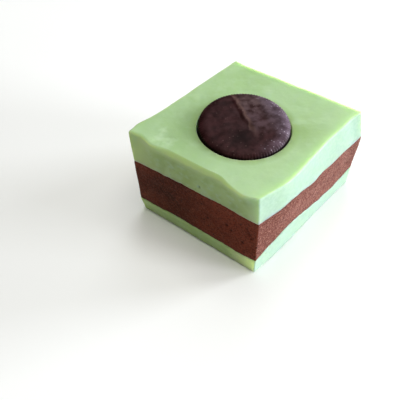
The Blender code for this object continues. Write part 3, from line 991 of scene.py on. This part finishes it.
def lit_front_colour(tree, where):
    """Mint on the front cut face: painted pale and bluer by light, finely grained, deeper away from its
    left end.
    """
    further = rising(tree, where, *FURTHER_ON)
    # Painted light: the pale, bluer copy of the mint for the lit front face
    grains = mixed(tree, further, *FRONT_LIT_GRAIN_COLOURS)
    return mixed(tree, clouds(tree, where, *FRONT_GRAINS), mixed(tree, further, *FRONT_LIT_COLOURS), grains)


def mint_colour(tree, where, middle):
    """Pale green, with painted shade on the left cut face and painted light on the front one and along the
    front edge.
    """
    facing = directions(tree)
    left = rising(tree, facing, *LEFT_FACE)
    colour = mixed(tree, left, top_colour(tree, where, middle), shaded_left_colour(tree, where))
    # Painted shade in the pits
    colour = painted_pit_shade(tree, where, colour, *MINT_PIT_SHADE)
    # Painted light glowing through the mint along the front edge
    colour = tinted(tree, colour, rising(tree, where, *FRONT_GLOW_BAND), *FRONT_GLOW_TINT)
    # Painted light on the front cut face
    return mixed(tree, rising(tree, facing, *FRONT_FACE), colour, lit_front_colour(tree, where))


def mint_material(middle):
    """Mint fudge: waxy, faintly translucent, with tiny air holes where it is cut."""
    made, tree, where = new_material("mint_fudge_fine")
    upright = rising(tree, directions(tree), *UPRIGHT_FACES)
    holes = product(tree, specks(tree, where, *AIR_HOLES), upright)
    # Painted shade in the air holes
    links = {
        "Base Color": tinted(tree, mint_colour(tree, where, middle), holes, *HOLE_SHADE_TINT),
        "Roughness": roughness(tree, where, *MINT_ROUGHNESS),
        "Normal": sunken(tree, holes, HOLE_DEPTH, grained(tree, where, *MINT_GRAIN)),
    }
    values = {
        "Subsurface Weight": 0.9,
        "Subsurface Radius": (0.9, 1.0, 0.5),
        "Subsurface Scale": 5.5 * MM,
        "Specular IOR Level": 0.22,
    }
    set_shader(tree, links, values)
    return made


def chocolate_colour(tree, where):
    """Brown with smears and grains, with painted sheen on the front and right cut faces and painted shade
    under its edges.
    """
    facing = directions(tree)
    # The front and right cut faces, which get painted sheen
    front = rising(tree, facing, *SHEEN_FACES)
    smears = clouds(tree, where, *SMEARS)
    colour = mixed(tree, smears, *BROWN_COLOURS)
    shade = nearness(tree, where, BROWN_SHADE_PLACE, BROWN_SHADE_REACH)
    colour = tinted(tree, colour, shade, *BROWN_SHADE_TINT)
    colour = tinted(tree, colour, rising(tree, where, *WARM_PART), *WARM_TINT)
    # Painted sheen on the front and right cut faces
    colour = mixed(tree, front, colour, mixed(tree, smears, *SHEEN_BROWN_COLOURS))
    strength = remap(tree, front, 0.0, 1.0, *GRAIN_STRENGTHS)
    for grains, colours in ((LIGHT_GRAINS, LIGHT_GRAIN_COLOURS), (DARK_GRAINS, DARK_GRAIN_COLOURS)):
        mask = clouds(tree, where, *grains)
        colour = tinted(tree, colour, mask, mixed(tree, front, *colours), strength)
    # Painted shade in the pits
    colour = painted_pit_shade(tree, where, colour, *BROWN_PIT_SHADE)
    # Painted shade under the edges
    return tinted(tree, colour, rising(tree, facing, *UNDERSIDES), *UNDERSIDE_SHADE)


def chocolate_material():
    """Chocolate fudge: dense and matt, with small open pores."""
    made, tree, where = new_material("chocolate_fudge_fine")
    pores = specks(tree, where, *PORES)
    # Painted shade in the pores
    links = {
        "Base Color": tinted(tree, chocolate_colour(tree, where), pores, *PORE_SHADE_TINT),
        "Roughness": roughness(tree, where, *CHOCOLATE_ROUGHNESS),
        "Normal": sunken(tree, pores, PORE_DEPTH, grained(tree, where, *CHOCOLATE_GRAIN)),
    }
    set_shader(tree, links, {"Specular IOR Level": 0.12})
    return made


def wandered(tree, where):
    """The places on the piece, shifted a little this way and that, but not on average."""
    scale, detail = WANDER
    wobble = add_node(tree, "ShaderNodeTexNoise", {"Vector": where, "Scale": scale, "Detail": detail})
    shift = add_node(tree, "ShaderNodeVectorMath", operation="MULTIPLY_ADD")
    tree.links.new(wobble.outputs["Color"], shift.inputs[0])
    shift.inputs[1].default_value = 3 * (CREST_WOBBLE,)
    tree.links.new(where, shift.inputs[2])
    moved = add_node(tree, "ShaderNodeVectorMath", operation="SUBTRACT")
    tree.links.new(shift.outputs["Vector"], moved.inputs[0])
    moved.inputs[1].default_value = 3 * (0.5 * CREST_WOBBLE,)
    return moved.outputs["Vector"]


def crest_sheen_colour(tree, where, patches):
    """Painted sheen on the disc, paler towards the back."""
    pale = mixed(tree, rising(tree, where, *BACK_OF_CREST), *CREST_SHEEN_COLOURS)
    return mixed(tree, patches, CREST_SHEEN_BASE, pale)


def right_shoulder(tree, loose, middle):
    """1 on the disc's shoulder at the right, and 0 elsewhere."""
    outer = nearness(tree, loose, middle, *OUTER_PART)
    return product(tree, outer, beyond(tree, loose, middle, RIGHTWARDS, *RIGHT_PART))


def dark_colour(tree, where, middle):
    """Reddish near black, with painted sheen past the crest and on the right, painted shade at the rim, a
    painted highlight, dark reflection and glints, and crumbs.
    """
    loose = wandered(tree, where)
    patches = clouds(tree, where, *DISC_PATCHES)
    # Painted sheen past the swirl's crest
    crest_sheen = beyond(tree, loose, CREST_PLACE, CREST_ACROSS, *CREST_SHEEN_PART)
    crest_sheen = product(tree, rising(tree, loose, *CREST_REACHED), crest_sheen)
    colour = mixed(tree, crest_sheen, mixed(tree, patches, *DARK_COLOURS), crest_sheen_colour(tree, where, patches))
    # Painted shade at the rim
    colour = tinted(tree, colour, nearness(tree, where, middle, *RIM_SHADE_PART), *RIM_SHADE_TINT)
    # Painted purplish sheen of the light at the right
    far_sheen = mixed(tree, patches, *FAR_SHEEN_COLOURS)
    far = beyond(tree, loose, CREST_PLACE, CREST_ACROSS, *FAR_SHEEN_PART)
    colour = tinted(tree, colour, far, far_sheen, FAR_SHEEN_STRENGTH)
    shoulder = right_shoulder(tree, loose, middle)
    colour = tinted(tree, colour, shoulder, far_sheen, SHOULDER_SHEEN_STRENGTH)
    # Painted highlight along the crest
    line = product(tree, crest_sheen, beyond(tree, loose, CREST_PLACE, CREST_ACROSS, *CREST_HIGHLIGHT_LINE))
    colour = tinted(tree, colour, line, *CREST_HIGHLIGHT_TINT)
    # Painted dark reflection
    darkest = nearness(tree, loose, DARK_PLACE, DARK_REACH, DARK_FULL)
    colour = tinted(tree, colour, darkest, *DARK_REFLECTION_TINT)
    # Painted glints on the right shoulder
    glints = product(tree, specks(tree, where, *GLINT_DOTS), shoulder)
    colour = mixed(tree, glints, colour, GLINT_COLOUR)
    return tinted(tree, colour, specks(tree, where, *CRUMBS), *CRUMB_TINT)


def dark_material(middle):
    """Dark chocolate: satin, with painted sheen."""
    made, tree, where = new_material("dark_chocolate_fine")
    links = {
        "Base Color": dark_colour(tree, where, middle),
        "Roughness": roughness(tree, where, *DARK_ROUGHNESS),
        "Normal": grained(tree, where, *DARK_GRAIN),
    }
    set_shader(tree, links, {"Specular IOR Level": 0.1})
    return made


def floor_material():
    """A plain, nearly white tabletop."""
    made, tree, where = new_material("pale_floor")
    links = {"Base Color": mixed(tree, clouds(tree, where, *FLOOR_TONE), *FLOOR_COLOURS)}
    set_shader(tree, links, {"Roughness": 0.6, "Specular IOR Level": 0.2})
    return made


def add_floor():
    half = FLOOR_HALF
    corners = [(-half, -half, 0.0), (half, -half, 0.0), (half, half, 0.0), (-half, half, 0.0)]
    floor = mesh_piece("floor", corners, [(0, 1, 2, 3)], floor_material())


def add_light(name, bearing, height, size, power, colour):
    """A square soft light that faces the block, at a bearing from +X and a height above the floor."""
    away = Matrix.Rotation(bearing, 3, "Z") @ Matrix.Rotation(-height, 3, "Y") @ Vector((1.0, 0.0, 0.0))
    data = bpy.data.lights.new(name, "AREA")
    data.shape = "SQUARE"
    data.size = size
    data.energy = power
    data.color = colour
    light = bpy.data.objects.new(name, data)
    light.location = LIGHT_DISTANCE * away
    light.rotation_euler = (-away).to_track_quat("-Z", "Y").to_euler()
    bpy.context.scene.collection.objects.link(light)


def add_lights():
    for name, bearing, height, size, power, colour in LIGHTS:
        add_light(name, math.radians(bearing), math.radians(height), size, power, colour)


def add_room():
    """A faint light from all around, and a white backdrop that gives no light."""
    world = bpy.data.worlds.new("room")
    world.use_nodes = True
    tree = world.node_tree
    room = tree.nodes["Background"]
    room.inputs["Color"].default_value = ROOM_TINT
    room.inputs["Strength"].default_value = ROOM_LIGHT
    backdrop = add_node(tree, "ShaderNodeBackground", {"Color": BACKDROP_TINT, "Strength": BACKDROP_LIGHT})
    seen = add_node(tree, "ShaderNodeLightPath").outputs["Is Camera Ray"]
    blend = add_node(tree, "ShaderNodeMixShader", {"Fac": seen})
    tree.links.new(room.outputs["Background"], blend.inputs[1])
    tree.links.new(backdrop.outputs["Background"], blend.inputs[2])
    tree.links.new(blend.outputs["Shader"], tree.nodes["World Output"].inputs["Surface"])
    bpy.context.scene.world = world


def add_camera():
    forward = Vector(
        (
            math.cos(CAMERA_YAW) * math.cos(CAMERA_DIP),
            math.sin(CAMERA_YAW) * math.cos(CAMERA_DIP),
            -math.sin(CAMERA_DIP),
        )
    )
    level = Vector((math.sin(CAMERA_YAW), -math.cos(CAMERA_YAW), 0.0))
    upright = level.cross(forward)
    right = math.cos(CAMERA_ROLL) * level + math.sin(CAMERA_ROLL) * upright
    up = math.cos(CAMERA_ROLL) * upright - math.sin(CAMERA_ROLL) * level
    data = bpy.data.cameras.new("camera")
    data.lens = LENS
    data.sensor_width = SENSOR
    data.clip_start = NEAREST
    data.clip_end = FARTHEST
    camera = bpy.data.objects.new("camera", data)
    turn = Matrix((right, up, -forward)).transposed().to_4x4()
    camera.matrix_world = Matrix.Translation(CAMERA_PLACE) @ turn
    bpy.context.scene.collection.objects.link(camera)
    bpy.context.scene.camera = camera


def dress(piece, relief, node):
    """Carves a piece's relief and lets it stand for its node."""
    carve(piece, relief)
    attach(piece, "root")
    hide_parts(node)


def add_layers(seat):
    """The three layers of fudge."""
    mint = mint_material(seat.translation)
    chocolate = chocolate_material()
    middle_height = (UPPER_LEFT[0] - LOWER_LEFT[0]) * MM
    bottom_rows = edge_rows(LOWER_LEFT[0] * MM, FOOT_RADIUS, both_ends=False)
    middle_rows = np.linspace(0.0, 1.0, round(middle_height / EVEN_STEP))
    top_rows = 1.0 - edge_rows(CROWN[0] - UPPER_LEFT[0] * MM, RIM_RADIUS, both_ends=False)[::-1]
    bottom = layer("bottom_layer_fine", ground, lower_boundary, bottom_rows, mint)
    middle = layer("middle_layer_fine", lower_boundary, upper_boundary, middle_rows, chocolate)
    top = layer("top_layer_fine", upper_boundary, crown_height, top_rows, mint, seat)
    dress(bottom, mint_relief, "bottom_layer")
    dress(middle, chocolate_relief, "middle_layer")
    dress(top, mint_relief, "top_layer")


def main():
    seat = seat_matrix()
    add_layers(seat)
    disc = add_disc(seat, dark_material(seat.translation))
    dress(disc, disc_relief, "chocolate_disc")
    add_floor()
    add_lights()
    add_room()
    add_camera()
    bpy.context.scene.view_settings.view_transform = "Standard"
    bpy.context.scene.view_settings.look = "Medium High Contrast"


main()
